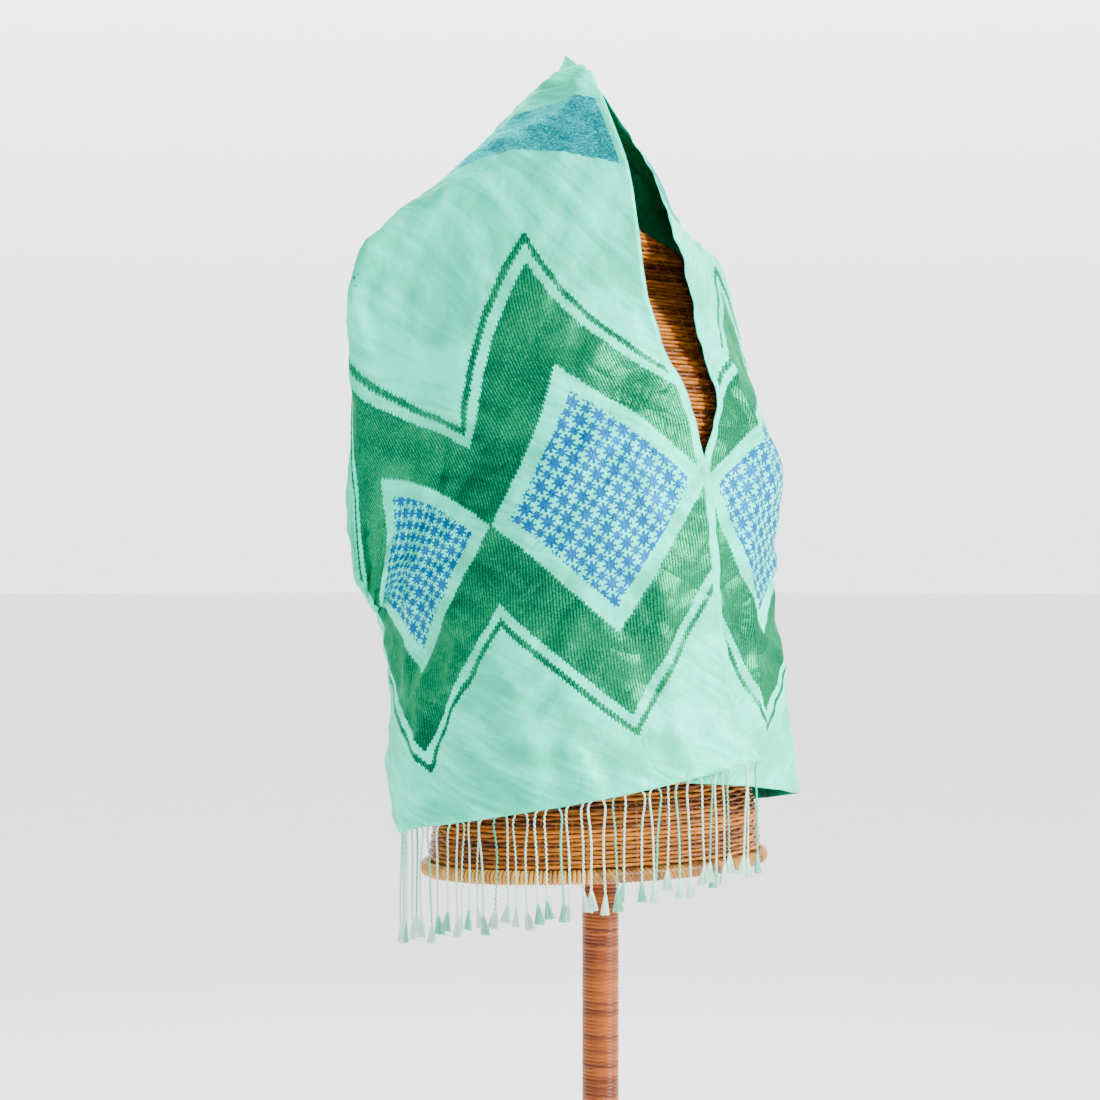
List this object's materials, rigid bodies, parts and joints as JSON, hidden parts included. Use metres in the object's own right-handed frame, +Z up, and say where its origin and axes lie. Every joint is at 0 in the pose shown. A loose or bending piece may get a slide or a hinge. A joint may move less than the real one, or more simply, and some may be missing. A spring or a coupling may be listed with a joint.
{
  "type": "shawl on a dress form",
  "caption": "Woven shawl with a fringed end, worn over the shoulders of a cane dress form on a pole stand with a round base.",
  "frame": {"origin": "centre of the underside of the stand's base, on the floor", "axes": "+Z up along the pole; the form's front faces -Y, and its right side is at -X"},
  "size_m": [0.4591, 0.3171, 1.4414],
  "materials": {
    "cloth": "silky plain weave with metallic supplementary weft",
    "fringe": "twisted silky threads",
    "cane": "woven cane, lightly varnished",
    "rim_cane": "wrapped cane",
    "board": "plain board",
    "pole_cane": "cane wrapped round a pole",
    "base_wood": "turned and varnished"
  },
  "bodies": {
    "root": {"shawl_right_front": "cloth", "shawl_back": "cloth", "shawl_left_front": "cloth", "fringe_right": "fringe", "torso": "cane", "rim": "rim_cane", "bottom_board": "board", "pole": "pole_cane", "base": "base_wood"}
  },
  "joints": []
}
